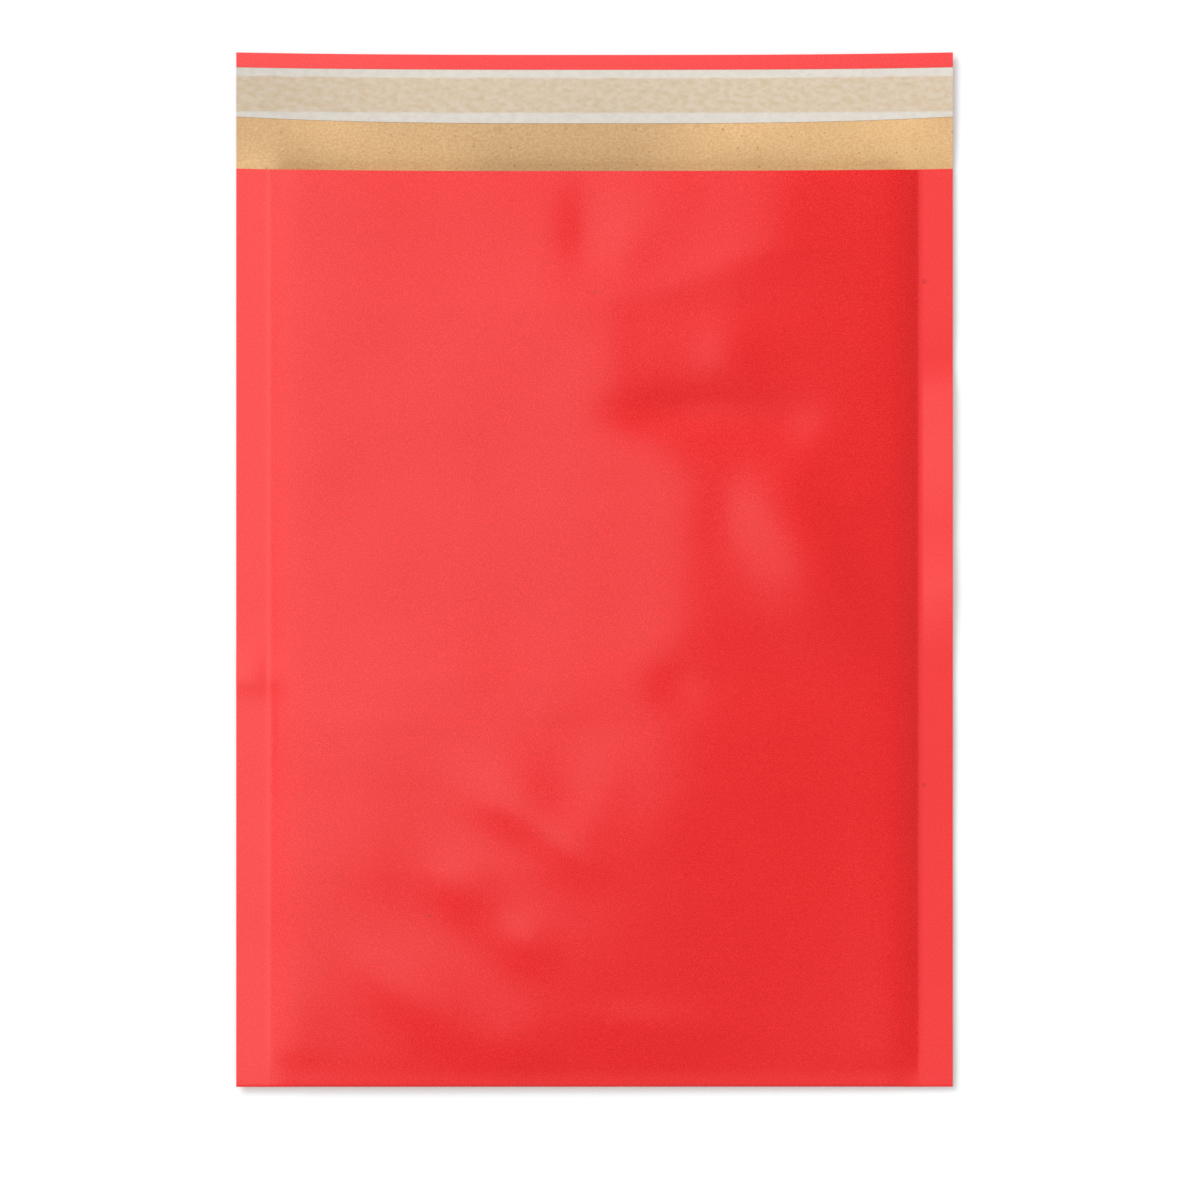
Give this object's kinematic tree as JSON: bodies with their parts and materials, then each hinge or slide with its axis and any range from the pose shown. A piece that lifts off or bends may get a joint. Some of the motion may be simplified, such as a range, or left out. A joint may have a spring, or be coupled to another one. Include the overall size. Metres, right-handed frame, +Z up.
{
  "type": "padded envelope",
  "caption": "Empty padded envelope of folded paper with a bubble film lining, lying open with its flap stretched out and the release liner on the adhesive.",
  "frame": {"origin": "middle of the footprint, on the surface that the envelope lies on", "axes": "+X across the width, +Y from the bottom fold towards the flap, +Z up out of the front panel"},
  "size_m": [0.29, 0.4186, 0.0133],
  "materials": {
    "red_paper": "satin red outside, brown kraft inside",
    "bubble_film": "clear film",
    "adhesive": "tacky translucent amber",
    "release_paper": "off-white silicone paper"
  },
  "bodies": {
    "root": {"paper_cover": "red_paper", "bubble_lining": "bubble_film", "adhesive_strip": "adhesive", "release_liner": "release_paper"}
  },
  "joints": []
}
